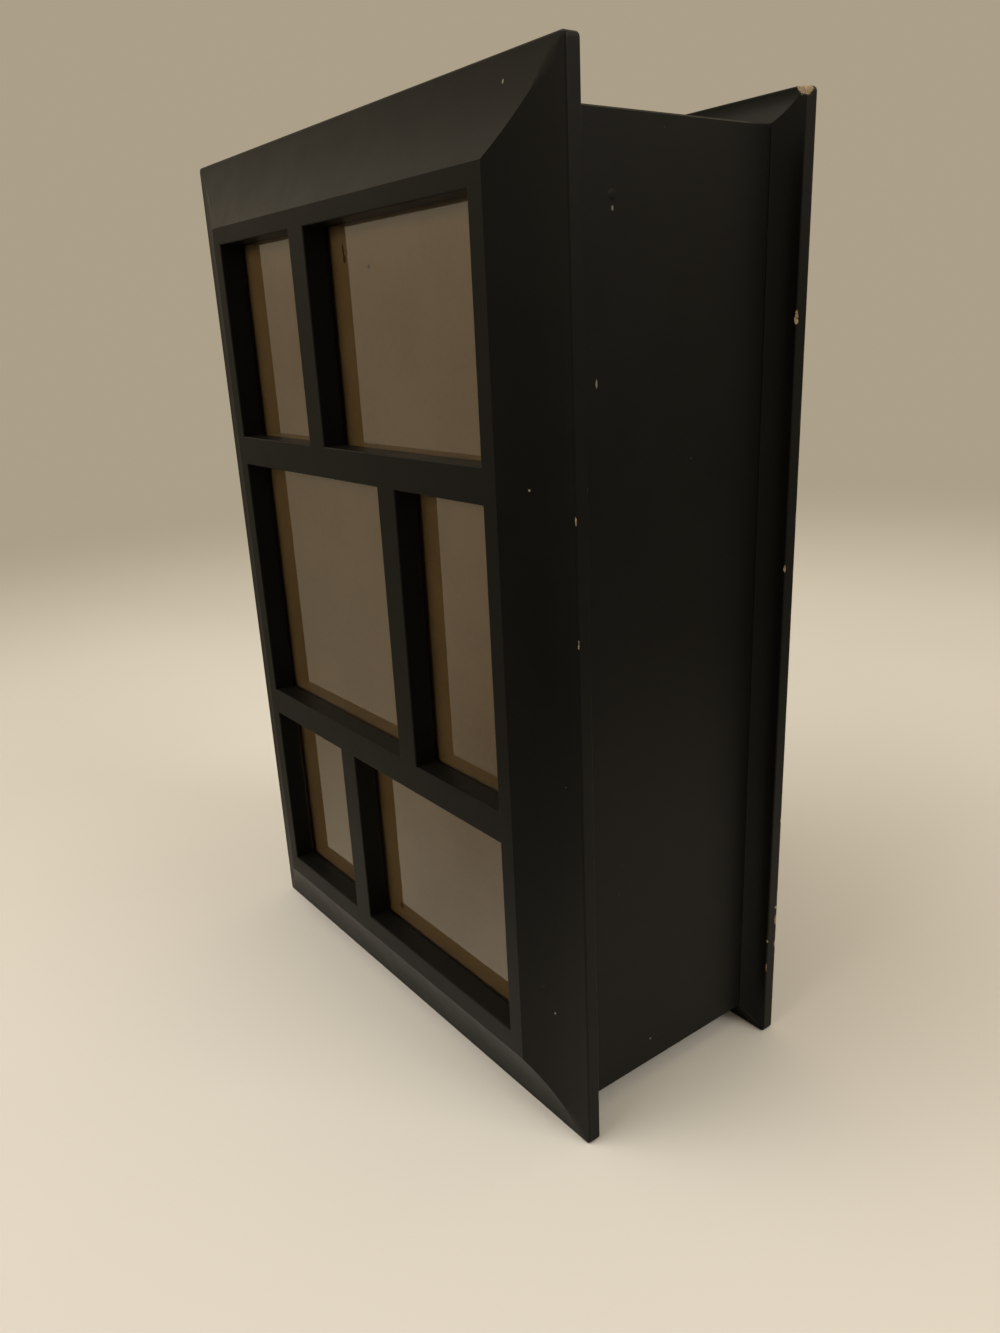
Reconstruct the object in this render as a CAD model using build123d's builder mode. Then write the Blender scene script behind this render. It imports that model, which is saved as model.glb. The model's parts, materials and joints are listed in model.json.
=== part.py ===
"""Collage photo frame made as the hinged lid of a shallow storage box, standing on its short end.

Millimetres. X runs to the viewer's right, Y away from the viewer and Z up. The origin is on the
floor, in the middle of the width and of the depth.
"""
import os

from build123d import *

os.makedirs("parts", exist_ok=True)

# The frame lid: one routed board with a raised field, a hollow cove all round and a thin edge
lid_edge = 6.0
lid_rise = 10.0
lid_cove_width = 30.0
lid_cove_sagitta = 1.7
plate_corner_radius = 2.0
plate_front_arris = 0.5
plate_rear_arris = 0.8

# Six windows in three rows, the narrow ones left, right and left again, and the field round them
row_width = 199.0
top_row_height = 87.5
middle_row_height = 119.5
bottom_row_height = 88.5
top_narrow_width = 70.5
middle_narrow_width = 59.5
bottom_narrow_width = 69.0
bar_width = 13.5
field_margin_left = 7.0
field_margin_right = 8.0
field_margin_top = 7.5
field_margin_bottom = 10.0
window_arris = 0.5

# Glass and backing lie in a rabbet cut from behind, with a little room for a picture
rabbet_width = 3.0
glass_thickness = 2.4
backing_thickness = 3.2
picture_room = 0.4
pane_clearance = 0.4
pane_arris = 0.3

# The box behind the lid
lid_taller_than_base = 5.0
closing_gap = 0.3
wall_depth = 98.7
wall_thickness = 10.0
wall_arris = 0.6

# The base plate, routed with a hollow cove from the walls nearly to its edge
base_edge = 6.0
base_rise = 5.0
base_cove_sagitta = 1.3
base_shoulder = 0.2
base_ledge = 1.0

# Fits shared by the pieces
screw_fit = 0.05
pin_fit = 0.05
swivel_gap = 0.1
moving_clearance = 0.3
overrun = 5.0

# Turn buttons that hold the backing boards, and their screws
button_grip = 4.25
button_width = 6.6
button_thickness = 1.4
button_arris = 0.3
button_screw_radius = 1.2
button_screw_depth = 9.0
button_head_radius = 2.6
button_head_height = 1.6
button_head_arris = 0.7
drive_slot_width = 0.7
drive_slot_depth = 0.7

# Two small butt hinges in the corner between the left wall and the lid's overhang
hinge_height = 38.0
hinge_inset = 62.0
hinge_pin_radius = 1.1
hinge_pin_head_lip = 0.7
hinge_pin_head_height = 0.7
hinge_leaf_thickness = 1.0
hinge_leaf_width = 7.4
hinge_edge_margin = 1.15
hinge_knuckle_gap = 0.2
hinge_screw_radius = 1.0
hinge_screw_head_lip = 0.9
hinge_screw_head_height = 0.9
hinge_screw_end_inset = 7.0
hinge_screw_tip_cover = 1.6
hinge_wall_screw_depth = 7.5

# Two pairs of disc magnets that hold the lid shut
magnet_side_cover = 2.0
magnet_thickness = 3.0
magnet_inset = 76.5

# Screws through the base plate into the ends of the walls
base_screw_radius = 1.75
base_screw_length = 30.0
base_screw_head_height = 1.75
base_screw_inset = 38.5
countersink_angle = 45

# Places that follow from those sizes
lid_width = 2 * lid_cove_width + field_margin_left + row_width + field_margin_right
rows_height = top_row_height + middle_row_height + bottom_row_height + 2 * bar_width
lid_height = 2 * lid_cove_width + field_margin_bottom + rows_height + field_margin_top
lid_thickness = lid_edge + lid_rise
base_thickness = base_edge + base_rise
base_height = lid_height - lid_taller_than_base
total_depth = lid_thickness + closing_gap + wall_depth + base_thickness

face_y = -total_depth / 2
lid_rear_y = face_y + lid_thickness
wall_front_y = lid_rear_y + closing_gap
base_face_y = wall_front_y + wall_depth
rear_y = base_face_y + base_thickness

# The knuckle is the leaf rolled round the pin, and the plates stand out over the walls by the hinge's reach
hinge_knuckle_radius = hinge_pin_radius + pin_fit + hinge_leaf_thickness
hinge_offset = hinge_knuckle_radius + moving_clearance
overhang = hinge_offset + hinge_leaf_width + hinge_edge_margin

plate_x = lid_width / 2
box_x = plate_x - overhang
box_bottom = overhang
box_top = base_height - overhang
box_middle_z = (box_bottom + box_top) / 2
inside_x = box_x - wall_thickness
side_wall_middle = box_x - wall_thickness / 2
wall_joint_depth = wall_thickness / 2

rabbet_depth = glass_thickness + backing_thickness + picture_room
glass_front_y = lid_rear_y - rabbet_depth
backing_front_y = glass_front_y + glass_thickness

windows_left = -plate_x + lid_cove_width + field_margin_left
windows_right = windows_left + row_width
top_row_top = lid_height - lid_cove_width - field_margin_top
top_row_bottom = top_row_top - top_row_height
middle_row_top = top_row_bottom - bar_width
middle_row_bottom = middle_row_top - middle_row_height
bottom_row_top = middle_row_bottom - bar_width
bottom_row_bottom = bottom_row_top - bottom_row_height
top_split = windows_left + top_narrow_width
middle_split = windows_right - middle_narrow_width - bar_width
bottom_split = windows_left + bottom_narrow_width

# Each window is its name, left, right, bottom and top
windows = [
    ("top_left", windows_left, top_split, top_row_bottom, top_row_top),
    ("top_right", top_split + bar_width, windows_right, top_row_bottom, top_row_top),
    ("middle_left", windows_left, middle_split, middle_row_bottom, middle_row_top),
    ("middle_right", middle_split + bar_width, windows_right, middle_row_bottom, middle_row_top),
    ("bottom_left", windows_left, bottom_split, bottom_row_bottom, bottom_row_top),
    ("bottom_right", bottom_split + bar_width, windows_right, bottom_row_bottom, bottom_row_top),
]

# Each turn button is its name, x, z, the way its nose points in degrees and whether it has two noses
narrow_left_x = (windows_left + top_split) / 2
narrow_right_x = (middle_split + bar_width + windows_right) / 2
top_row_middle = (top_row_bottom + top_row_top) / 2
middle_row_middle = (middle_row_bottom + middle_row_top) / 2
bottom_row_middle = (bottom_row_bottom + bottom_row_top) / 2
left_side_x = (windows_left - rabbet_width - inside_x) / 2
right_side_x = (windows_right + rabbet_width + inside_x) / 2
buttons = [
    ("top_bar", top_split + bar_width / 2, top_row_middle, 0, True),
    ("middle_bar", middle_split + bar_width / 2, middle_row_middle, 0, True),
    ("bottom_bar", bottom_split + bar_width / 2, bottom_row_middle, 0, True),
    ("upper_rail_left", narrow_left_x, middle_row_top + bar_width / 2, 90, True),
    ("upper_rail_right", narrow_right_x, middle_row_top + bar_width / 2, 90, True),
    ("lower_rail_left", narrow_left_x, bottom_row_top + bar_width / 2, 90, True),
    ("lower_rail_right", narrow_right_x, bottom_row_top + bar_width / 2, 90, True),
    ("upper_left", left_side_x, top_row_middle, 0, False),
    ("upper_right", right_side_x, top_row_middle, 180, False),
    ("lower_left", left_side_x, bottom_row_middle, 0, False),
    ("lower_right", right_side_x, bottom_row_middle, 180, False),
]
button_reach = bar_width / 2 + button_grip
button_places = [(x, z) for name, x, z, turn, double in buttons]
button_front_y = lid_rear_y + swivel_gap
button_rear_y = button_front_y + button_thickness
button_head_y = button_rear_y + swivel_gap

hinge_x = -box_x - hinge_offset
hinge_y = lid_rear_y + hinge_offset
hinge_places = [("upper", box_top - hinge_inset), ("lower", box_bottom + hinge_inset)]
hinge_middle_knuckle = hinge_height / 3
hinge_screw_head_radius = hinge_screw_radius + hinge_screw_head_lip
hinge_screw_inset = (hinge_offset + hinge_leaf_width) / 2
hinge_screw_rise = hinge_height / 2 - hinge_screw_end_inset
hinge_screw_rises = [-hinge_screw_rise, hinge_screw_rise]
hinge_screw_places = [z + rise for name, z in hinge_places for rise in hinge_screw_rises]
hinge_lid_screw_depth = lid_edge - hinge_screw_tip_cover
lid_hinge_screw_x = hinge_x - hinge_screw_inset
wall_hinge_screw_y = hinge_y + hinge_screw_inset

magnet_radius = wall_thickness / 2 - magnet_side_cover
magnet_places = [(side_wall_middle, z) for z in (box_bottom + magnet_inset, box_top - magnet_inset)]

base_screw_head_radius = base_screw_radius + base_screw_head_height
base_screw_rises = [box_bottom + base_screw_inset, box_middle_z, box_top - base_screw_inset]
base_screw_places = [(side * side_wall_middle, z) for side in (-1, 1) for z in base_screw_rises]
base_screw_places += [(0, box_bottom + wall_thickness / 2), (0, box_top - wall_thickness / 2)]


def upright(y):
    """The upright plane at depth y. Its sketches read as seen from the front, and it faces the viewer."""
    return Plane.XZ.offset(-y)


def rear_face(y):
    """The upright plane at depth y that faces away from the viewer, with X still to the right."""
    return Plane(origin=(0, y, 0), x_dir=(1, 0, 0), z_dir=(0, 1, 0))


def finish(part, name):
    """Gives the piece its name and writes it to its file."""
    part.label = name
    export_step(part, f"parts/{name}.step")


# The frame lid
lid_middle_z = lid_height / 2
with BuildPart() as frame_lid:
    with BuildSketch(upright(lid_rear_y)):
        with Locations((0, lid_middle_z)):
            RectangleRounded(lid_width, lid_height, plate_corner_radius)
    extrude(amount=lid_thickness)
    # the cove is cut along the two upright sides, as seen from above
    for side in (-1, 1):
        with BuildSketch(Plane.XY.offset(-overrun)):
            with BuildLine():
                field_corner = (side * (plate_x - lid_cove_width), face_y)
                edge_corner = (side * (plate_x - plate_front_arris), face_y + lid_rise)
                SagittaArc(field_corner, edge_corner, side * lid_cove_sagitta)
                Polyline(
                    edge_corner,
                    (side * (plate_x + overrun), face_y + lid_rise + plate_front_arris + overrun),
                    (side * (plate_x + overrun), face_y - overrun),
                    (side * (plate_x - lid_cove_width), face_y - overrun),
                    field_corner,
                )
            make_face()
        extrude(amount=lid_height + 2 * overrun, mode=Mode.SUBTRACT)
    # and along the head and the foot, as seen from the side
    for end, foot_z in ((-1, 0), (1, lid_height)):
        with BuildSketch(Plane.YZ.offset(-plate_x - overrun)):
            with BuildLine():
                field_corner = (face_y, foot_z - end * lid_cove_width)
                edge_corner = (face_y + lid_rise, foot_z - end * plate_front_arris)
                SagittaArc(field_corner, edge_corner, -end * lid_cove_sagitta)
                Polyline(
                    edge_corner,
                    (face_y + lid_rise + plate_front_arris + overrun, foot_z + end * overrun),
                    (face_y - overrun, foot_z + end * overrun),
                    (face_y - overrun, foot_z - end * lid_cove_width),
                    field_corner,
                )
            make_face()
        extrude(amount=lid_width + 2 * overrun, mode=Mode.SUBTRACT)
    rear_outline = frame_lid.faces().sort_by(Axis.Y)[-1].edges()
    chamfer(rear_outline, plate_rear_arris)
    # the windows go right through, and their rabbets come in from behind
    with BuildSketch(upright(lid_rear_y)):
        for name, left, right, bottom, top in windows:
            with Locations(((left + right) / 2, (bottom + top) / 2)):
                Rectangle(right - left, top - bottom)
    extrude(amount=lid_thickness, mode=Mode.SUBTRACT)
    window_edges = frame_lid.faces().sort_by(Axis.Y)[0].inner_wires().edges()
    chamfer(window_edges, window_arris)
    with BuildSketch(upright(lid_rear_y)):
        for name, left, right, bottom, top in windows:
            with Locations(((left + right) / 2, (bottom + top) / 2)):
                Rectangle(right - left + 2 * rabbet_width, top - bottom + 2 * rabbet_width)
    extrude(amount=rabbet_depth, mode=Mode.SUBTRACT)
    # bores for the turn buttons' screws, the hinge screws and the magnets
    with BuildSketch(upright(lid_rear_y)):
        with Locations(*button_places):
            Circle(button_screw_radius + screw_fit)
    extrude(amount=button_screw_depth + screw_fit, mode=Mode.SUBTRACT)
    with BuildSketch(upright(lid_rear_y)):
        with Locations(*[(lid_hinge_screw_x, z) for z in hinge_screw_places]):
            Circle(hinge_screw_radius + screw_fit)
    extrude(amount=hinge_lid_screw_depth + screw_fit, mode=Mode.SUBTRACT)
    with BuildSketch(upright(lid_rear_y)):
        with Locations(*magnet_places):
            Circle(magnet_radius + screw_fit)
    extrude(amount=magnet_thickness, mode=Mode.SUBTRACT)
finish(frame_lid.part, "frame_lid")

# A pane of glass and a backing board in each window
for name, left, right, bottom, top in windows:
    pane_width = right - left + 2 * (rabbet_width - pane_clearance)
    pane_height = top - bottom + 2 * (rabbet_width - pane_clearance)
    pane_middle = ((left + right) / 2, (bottom + top) / 2)
    with BuildPart() as glass:
        with BuildSketch(upright(backing_front_y)):
            with Locations(pane_middle):
                Rectangle(pane_width, pane_height)
        extrude(amount=glass_thickness)
        chamfer(glass.edges().filter_by(Axis.Y), pane_arris)
    finish(glass.part, f"glass_{name}")
    with BuildPart() as backing:
        with BuildSketch(upright(backing_front_y + backing_thickness)):
            with Locations(pane_middle):
                Rectangle(pane_width, pane_height)
        extrude(amount=backing_thickness)
        chamfer(backing.edges().filter_by(Axis.Y), pane_arris)
    finish(backing.part, f"backing_{name}")

# Turn buttons: flat strips with round ends, some with one nose and a short tail
for name, x, z, turn, double in buttons:
    tail = button_reach if double else button_width / 2
    strip_length = button_reach + tail
    strip_shift = (button_reach - tail) / 2
    with BuildPart() as button:
        with BuildSketch(upright(button_rear_y)):
            with Locations(Location((x, z), turn)):
                with Locations((strip_shift, 0)):
                    SlotOverall(strip_length, button_width)
        extrude(amount=button_thickness)
        chamfer(button.faces().sort_by(Axis.Y)[-1].edges(), button_arris)
        with BuildSketch(upright(button_rear_y)):
            with Locations((x, z)):
                Circle(button_screw_radius + pin_fit)
        extrude(amount=button_thickness, mode=Mode.SUBTRACT)
    finish(button.part, f"turn_button_{name}")

# Pan head screws, one through each turn button
with BuildPart() as button_screws:
    with BuildSketch(rear_face(button_head_y)):
        with Locations(*[(x, -z) for x, z in button_places]):
            Circle(button_head_radius)
    extrude(amount=button_head_height)
    head_tops = button_screws.faces().group_by(Axis.Y)[-1].edges()
    fillet(head_tops, button_head_arris)
    with BuildSketch(upright(button_head_y + button_head_height)):
        with Locations(*button_places):
            Rectangle(2 * button_head_radius, drive_slot_width)
    extrude(amount=drive_slot_depth, mode=Mode.SUBTRACT)
    with BuildSketch(upright(button_head_y)):
        with Locations(*button_places):
            Circle(button_screw_radius)
    extrude(amount=button_head_y - lid_rear_y + button_screw_depth)
finish(button_screws.part, "turn_button_screws")

# The side walls run the full height of the box and are rabbeted for the head and foot walls
for name, side in (("wall_left", -1), ("wall_right", 1)):
    with BuildPart() as wall:
        with BuildSketch(upright(base_face_y)):
            with Locations((side * side_wall_middle, box_middle_z)):
                Rectangle(wall_thickness, box_top - box_bottom)
        extrude(amount=wall_depth)
        outer_ends = wall.faces().sort_by(Axis.X)[-1 if side > 0 else 0].edges().filter_by(Axis.Y)
        chamfer(outer_ends, wall_arris)
        with BuildSketch(upright(base_face_y)):
            with Locations((side * (inside_x + wall_joint_depth / 2), box_bottom + wall_thickness / 2)):
                Rectangle(wall_joint_depth, wall_thickness)
            with Locations((side * (inside_x + wall_joint_depth / 2), box_top - wall_thickness / 2)):
                Rectangle(wall_joint_depth, wall_thickness)
        extrude(amount=wall_depth, mode=Mode.SUBTRACT)
        # pilot bores for the screws that come through the base plate
        with BuildSketch(upright(base_face_y)):
            with Locations(*[place for place in base_screw_places if place[0] * side > 0]):
                Circle(base_screw_radius + screw_fit)
        extrude(amount=base_screw_length - base_thickness + screw_fit, mode=Mode.SUBTRACT)
        if side > 0:
            with BuildSketch(upright(wall_front_y + magnet_thickness)):
                with Locations(*magnet_places):
                    Circle(magnet_radius + screw_fit)
            extrude(amount=magnet_thickness, mode=Mode.SUBTRACT)
        else:
            with BuildSketch(Plane.YZ.offset(-box_x)):
                with Locations(*[(wall_hinge_screw_y, z) for z in hinge_screw_places]):
                    Circle(hinge_screw_radius + screw_fit)
            extrude(amount=hinge_wall_screw_depth + screw_fit, mode=Mode.SUBTRACT)
    finish(wall.part, name)

# The head and foot walls sit in those rabbets
cross_wall_length = 2 * (inside_x + wall_joint_depth)
cross_walls = [("wall_head", box_top - wall_thickness / 2), ("wall_foot", box_bottom + wall_thickness / 2)]
for name, middle_z in cross_walls:
    with BuildPart() as cross_wall:
        with BuildSketch(upright(base_face_y)):
            with Locations((0, middle_z)):
                Rectangle(cross_wall_length, wall_thickness)
        extrude(amount=wall_depth)
        with BuildSketch(upright(base_face_y)):
            with Locations((0, middle_z)):
                Circle(base_screw_radius + screw_fit)
        extrude(amount=base_screw_length - base_thickness + screw_fit, mode=Mode.SUBTRACT)
    finish(cross_wall.part, name)

# The base plate
base_middle_z = base_height / 2
cove_start = box_x + base_shoulder
cove_end = plate_x - base_ledge
with BuildPart() as base_plate:
    with BuildSketch(upright(rear_y)):
        with Locations((0, base_middle_z)):
            RectangleRounded(lid_width, base_height, plate_corner_radius)
    extrude(amount=base_thickness)
    for side in (-1, 1):
        with BuildSketch(Plane.XY.offset(-overrun)):
            with BuildLine():
                wall_corner = (side * cove_start, base_face_y)
                ledge_corner = (side * cove_end, base_face_y + base_rise)
                SagittaArc(wall_corner, ledge_corner, side * base_cove_sagitta)
                Polyline(
                    ledge_corner,
                    (side * (plate_x - plate_front_arris), base_face_y + base_rise),
                    (side * (plate_x + overrun), base_face_y + base_rise + plate_front_arris + overrun),
                    (side * (plate_x + overrun), base_face_y - overrun),
                    (side * cove_start, base_face_y - overrun),
                    wall_corner,
                )
            make_face()
        extrude(amount=base_height + 2 * overrun, mode=Mode.SUBTRACT)
    for end, foot_z in ((-1, 0), (1, base_height)):
        with BuildSketch(Plane.YZ.offset(-plate_x - overrun)):
            with BuildLine():
                wall_corner = (base_face_y, foot_z - end * (plate_x - cove_start))
                ledge_corner = (base_face_y + base_rise, foot_z - end * base_ledge)
                SagittaArc(wall_corner, ledge_corner, -end * base_cove_sagitta)
                Polyline(
                    ledge_corner,
                    (base_face_y + base_rise, foot_z - end * plate_front_arris),
                    (base_face_y + base_rise + plate_front_arris + overrun, foot_z + end * overrun),
                    (base_face_y - overrun, foot_z + end * overrun),
                    (base_face_y - overrun, foot_z - end * (plate_x - cove_start)),
                    wall_corner,
                )
            make_face()
        extrude(amount=lid_width + 2 * overrun, mode=Mode.SUBTRACT)
    chamfer(base_plate.faces().sort_by(Axis.Y)[-1].edges(), plate_rear_arris)
    # countersunk bores from behind
    with BuildSketch(upright(rear_y)):
        with Locations(*base_screw_places):
            Circle(base_screw_radius + screw_fit)
    extrude(amount=base_thickness, mode=Mode.SUBTRACT)
    with BuildSketch(upright(rear_y)):
        with Locations(*base_screw_places):
            Circle(base_screw_head_radius + screw_fit)
    extrude(amount=base_screw_head_height, taper=countersink_angle, mode=Mode.SUBTRACT)
finish(base_plate.part, "base_plate")

with BuildPart() as base_screws:
    with BuildSketch(upright(rear_y)):
        with Locations(*base_screw_places):
            Circle(base_screw_radius)
    extrude(amount=base_screw_length)
    with BuildSketch(upright(rear_y)):
        with Locations(*base_screw_places):
            Circle(base_screw_head_radius)
    extrude(amount=base_screw_head_height, taper=countersink_angle)
    with BuildSketch(upright(rear_y)):
        with Locations(*base_screw_places):
            Rectangle(base_screw_head_radius, drive_slot_width)
            Rectangle(drive_slot_width, base_screw_head_radius)
    extrude(amount=2 * drive_slot_depth, mode=Mode.SUBTRACT)
finish(base_screws.part, "base_screws")

# The hinges: a leaf on the wall with the two end knuckles, a leaf on the lid with the middle one, and a pin
outer_knuckle_start = hinge_middle_knuckle / 2 + hinge_knuckle_gap
for name, z in hinge_places:
    low_z = z - hinge_height / 2
    with BuildPart() as wall_leaf:
        with BuildSketch(Plane.XY.offset(low_z)):
            with Locations((hinge_x, hinge_y)):
                Circle(hinge_knuckle_radius)
            with Locations((-box_x - hinge_leaf_thickness / 2, hinge_y + hinge_leaf_width / 2)):
                Rectangle(hinge_leaf_thickness, hinge_leaf_width)
        extrude(amount=hinge_height)
        with BuildSketch(Plane.XY.offset(z - outer_knuckle_start)):
            with Locations((hinge_x, hinge_y)):
                Rectangle(2 * hinge_offset, 2 * hinge_offset)
        extrude(amount=2 * outer_knuckle_start, mode=Mode.SUBTRACT)
        with BuildSketch(Plane.XY.offset(low_z)):
            with Locations((hinge_x, hinge_y)):
                Circle(hinge_pin_radius + pin_fit)
        extrude(amount=hinge_height, mode=Mode.SUBTRACT)
        with BuildSketch(Plane.YZ.offset(-box_x - hinge_leaf_thickness)):
            with Locations(*[(wall_hinge_screw_y, z + rise) for rise in hinge_screw_rises]):
                Circle(hinge_screw_radius + screw_fit)
        extrude(amount=hinge_leaf_thickness, mode=Mode.SUBTRACT)
    finish(wall_leaf.part, f"hinge_{name}_wall_leaf")
    with BuildPart() as lid_leaf:
        with BuildSketch(Plane.XY.offset(low_z)):
            with Locations((hinge_x, hinge_y)):
                Circle(hinge_knuckle_radius)
            with Locations((hinge_x - hinge_leaf_width / 2, lid_rear_y + hinge_leaf_thickness / 2)):
                Rectangle(hinge_leaf_width, hinge_leaf_thickness)
        extrude(amount=hinge_height)
        for notch_z in (low_z, z + hinge_middle_knuckle / 2):
            with BuildSketch(Plane.XY.offset(notch_z)):
                with Locations((hinge_x, hinge_y)):
                    Rectangle(2 * hinge_offset, 2 * hinge_offset)
            extrude(amount=(hinge_height - hinge_middle_knuckle) / 2, mode=Mode.SUBTRACT)
        with BuildSketch(Plane.XY.offset(low_z)):
            with Locations((hinge_x, hinge_y)):
                Circle(hinge_pin_radius + pin_fit)
        extrude(amount=hinge_height, mode=Mode.SUBTRACT)
        with BuildSketch(upright(lid_rear_y + hinge_leaf_thickness)):
            with Locations(*[(lid_hinge_screw_x, z + rise) for rise in hinge_screw_rises]):
                Circle(hinge_screw_radius + screw_fit)
        extrude(amount=hinge_leaf_thickness, mode=Mode.SUBTRACT)
    finish(lid_leaf.part, f"hinge_{name}_lid_leaf")
    with BuildPart() as pin:
        with BuildSketch(Plane.XY.offset(low_z)):
            with Locations((hinge_x, hinge_y)):
                Circle(hinge_pin_radius)
        extrude(amount=hinge_height)
        for head_z in (low_z - hinge_pin_head_height, low_z + hinge_height):
            with BuildSketch(Plane.XY.offset(head_z)):
                with Locations((hinge_x, hinge_y)):
                    Circle(hinge_pin_radius + hinge_pin_head_lip)
            extrude(amount=hinge_pin_head_height)
    finish(pin.part, f"hinge_{name}_pin")

with BuildPart() as hinge_wall_screws:
    with BuildSketch(Plane.YZ.offset(-box_x - hinge_leaf_thickness - hinge_screw_head_height)):
        with Locations(*[(wall_hinge_screw_y, z) for z in hinge_screw_places]):
            Circle(hinge_screw_head_radius)
    extrude(amount=hinge_screw_head_height)
    chamfer(hinge_wall_screws.faces().group_by(Axis.X)[0].edges(), hinge_screw_head_height / 2)
    with BuildSketch(Plane.YZ.offset(-box_x - hinge_leaf_thickness)):
        with Locations(*[(wall_hinge_screw_y, z) for z in hinge_screw_places]):
            Circle(hinge_screw_radius)
    extrude(amount=hinge_leaf_thickness + hinge_wall_screw_depth)
finish(hinge_wall_screws.part, "hinge_wall_screws")

with BuildPart() as hinge_lid_screws:
    with BuildSketch(upright(lid_rear_y + hinge_leaf_thickness + hinge_screw_head_height)):
        with Locations(*[(lid_hinge_screw_x, z) for z in hinge_screw_places]):
            Circle(hinge_screw_head_radius)
    extrude(amount=hinge_screw_head_height)
    chamfer(hinge_lid_screws.faces().group_by(Axis.Y)[-1].edges(), hinge_screw_head_height / 2)
    with BuildSketch(upright(lid_rear_y + hinge_leaf_thickness)):
        with Locations(*[(lid_hinge_screw_x, z) for z in hinge_screw_places]):
            Circle(hinge_screw_radius)
    extrude(amount=hinge_leaf_thickness + hinge_lid_screw_depth)
finish(hinge_lid_screws.part, "hinge_lid_screws")

# Disc magnets in the lid and in the right wall
with BuildPart() as lid_magnets:
    with BuildSketch(upright(lid_rear_y)):
        with Locations(*magnet_places):
            Circle(magnet_radius)
    extrude(amount=magnet_thickness)
finish(lid_magnets.part, "lid_magnets")

with BuildPart() as wall_magnets:
    with BuildSketch(upright(wall_front_y + magnet_thickness)):
        with Locations(*magnet_places):
            Circle(magnet_radius)
    extrude(amount=magnet_thickness)
finish(wall_magnets.part, "wall_magnets")
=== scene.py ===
# %% [markdown]
# A collage photo frame that is the lid of a black storage box
#
# The object is a shallow board box that stands on its short end. Its lid is a frame with six glazed
# windows, and its base is a second moulded plate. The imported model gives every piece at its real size,
# and this lesson dresses it: the two plates are made again with the small rounds that sandpaper and paint
# leave on an arris and with the dents of a used box, and every surface gets a finish that is built from
# nodes.

# %% Load the frame
import json
import math

import bmesh
import bpy
import numpy as np
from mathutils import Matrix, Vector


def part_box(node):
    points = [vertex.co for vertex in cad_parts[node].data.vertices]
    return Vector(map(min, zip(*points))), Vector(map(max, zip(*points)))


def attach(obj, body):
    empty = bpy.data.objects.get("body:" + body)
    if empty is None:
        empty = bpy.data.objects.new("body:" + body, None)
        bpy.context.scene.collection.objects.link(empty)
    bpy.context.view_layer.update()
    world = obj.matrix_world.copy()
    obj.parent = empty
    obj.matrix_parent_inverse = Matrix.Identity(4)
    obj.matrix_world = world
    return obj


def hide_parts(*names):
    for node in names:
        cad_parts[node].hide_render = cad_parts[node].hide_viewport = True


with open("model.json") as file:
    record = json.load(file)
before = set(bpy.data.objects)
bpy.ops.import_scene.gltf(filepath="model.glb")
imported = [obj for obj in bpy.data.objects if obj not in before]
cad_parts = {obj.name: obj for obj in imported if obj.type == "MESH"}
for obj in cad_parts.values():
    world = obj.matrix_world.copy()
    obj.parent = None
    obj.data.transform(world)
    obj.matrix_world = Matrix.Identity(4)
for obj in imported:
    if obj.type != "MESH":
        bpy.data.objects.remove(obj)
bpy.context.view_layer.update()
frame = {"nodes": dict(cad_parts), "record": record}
MM = 0.001


def box_mm(node):
    """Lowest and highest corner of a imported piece, in millimetres."""
    low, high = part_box(node)
    return np.array(low) / MM, np.array(high) / MM


print("pieces in the frame:", len(frame["nodes"]))

# %% [markdown]
# The camera
#
# The photo looks down a little at the right front corner from close by, so the two plates lean apart
# strongly. The place and turn below were solved from the corners and edges that the photo shows. The
# lens is a wide one, and the small shift stands for a picture that was centred slightly off.

# %% Camera
camera_place_mm = (390.16, -272.69, 320.91)
camera_turn_degrees = (70.701, 2.659, 52.812)
photo_width_px, photo_height_px = 1000, 1333
photo_focal_px = 1020.1
photo_centre_px = (500.4, 683.0)
sensor_mm = 36.0

camera_data = bpy.data.cameras.new("photo_camera")
camera_data.sensor_fit = "AUTO"
camera_data.sensor_width = sensor_mm
camera_data.lens = photo_focal_px * sensor_mm / photo_height_px
camera_data.shift_x = -(photo_centre_px[0] - photo_width_px / 2) / photo_height_px
camera_data.shift_y = (photo_centre_px[1] - photo_height_px / 2) / photo_height_px
camera_data.clip_start = 0.01
camera = bpy.data.objects.new("photo_camera", camera_data)
camera.location = [c * MM for c in camera_place_mm]
camera.rotation_euler = [math.radians(a) for a in camera_turn_degrees]
bpy.context.scene.collection.objects.link(camera)
bpy.context.scene.camera = camera
print("lens in millimetres:", round(camera_data.lens, 2))

# %% [markdown]
# Sizes of the two plates
#
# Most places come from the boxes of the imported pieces. The routed forms can't be read from a box, so
# their sizes stand here. Each plate has a thin edge and a hollow cove: an arc that sags below the
# straight line between its two ends.

# %% Sizes
lid_low, lid_high = box_mm("frame_lid")
base_low, base_high = box_mm("base_plate")
lid_edge_mm, lid_rise_mm = 6.0, 10.0
lid_cove_mm, lid_sagitta_mm = 30.0, 1.7
base_edge_mm, base_rise_mm = 6.0, 5.0
base_ledge_mm, base_shoulder_mm, base_sagitta_mm = 1.0, 0.2, 1.3
plate_corner_mm = 2.0
lid_arris_mm, base_arris_mm, rear_arris_mm, window_arris_mm = 0.7, 0.6, 0.8, 0.55
cove_start_mm = 0.5

# A window is as wide and as high as its pane of glass less the rabbet on every side
rabbet_mm, pane_clearance_mm = 3.0, 0.4
lip_mm = rabbet_mm - pane_clearance_mm
panes = [name for name in frame["nodes"] if name.startswith("glass_")]
windows_mm = []
for pane in panes:
    (left, _, bottom), (right, _, top) = box_mm(pane)
    windows_mm.append((left + lip_mm, right - lip_mm, bottom + lip_mm, top - lip_mm))
glass_front_y = box_mm(panes[0])[0][1]

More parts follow.
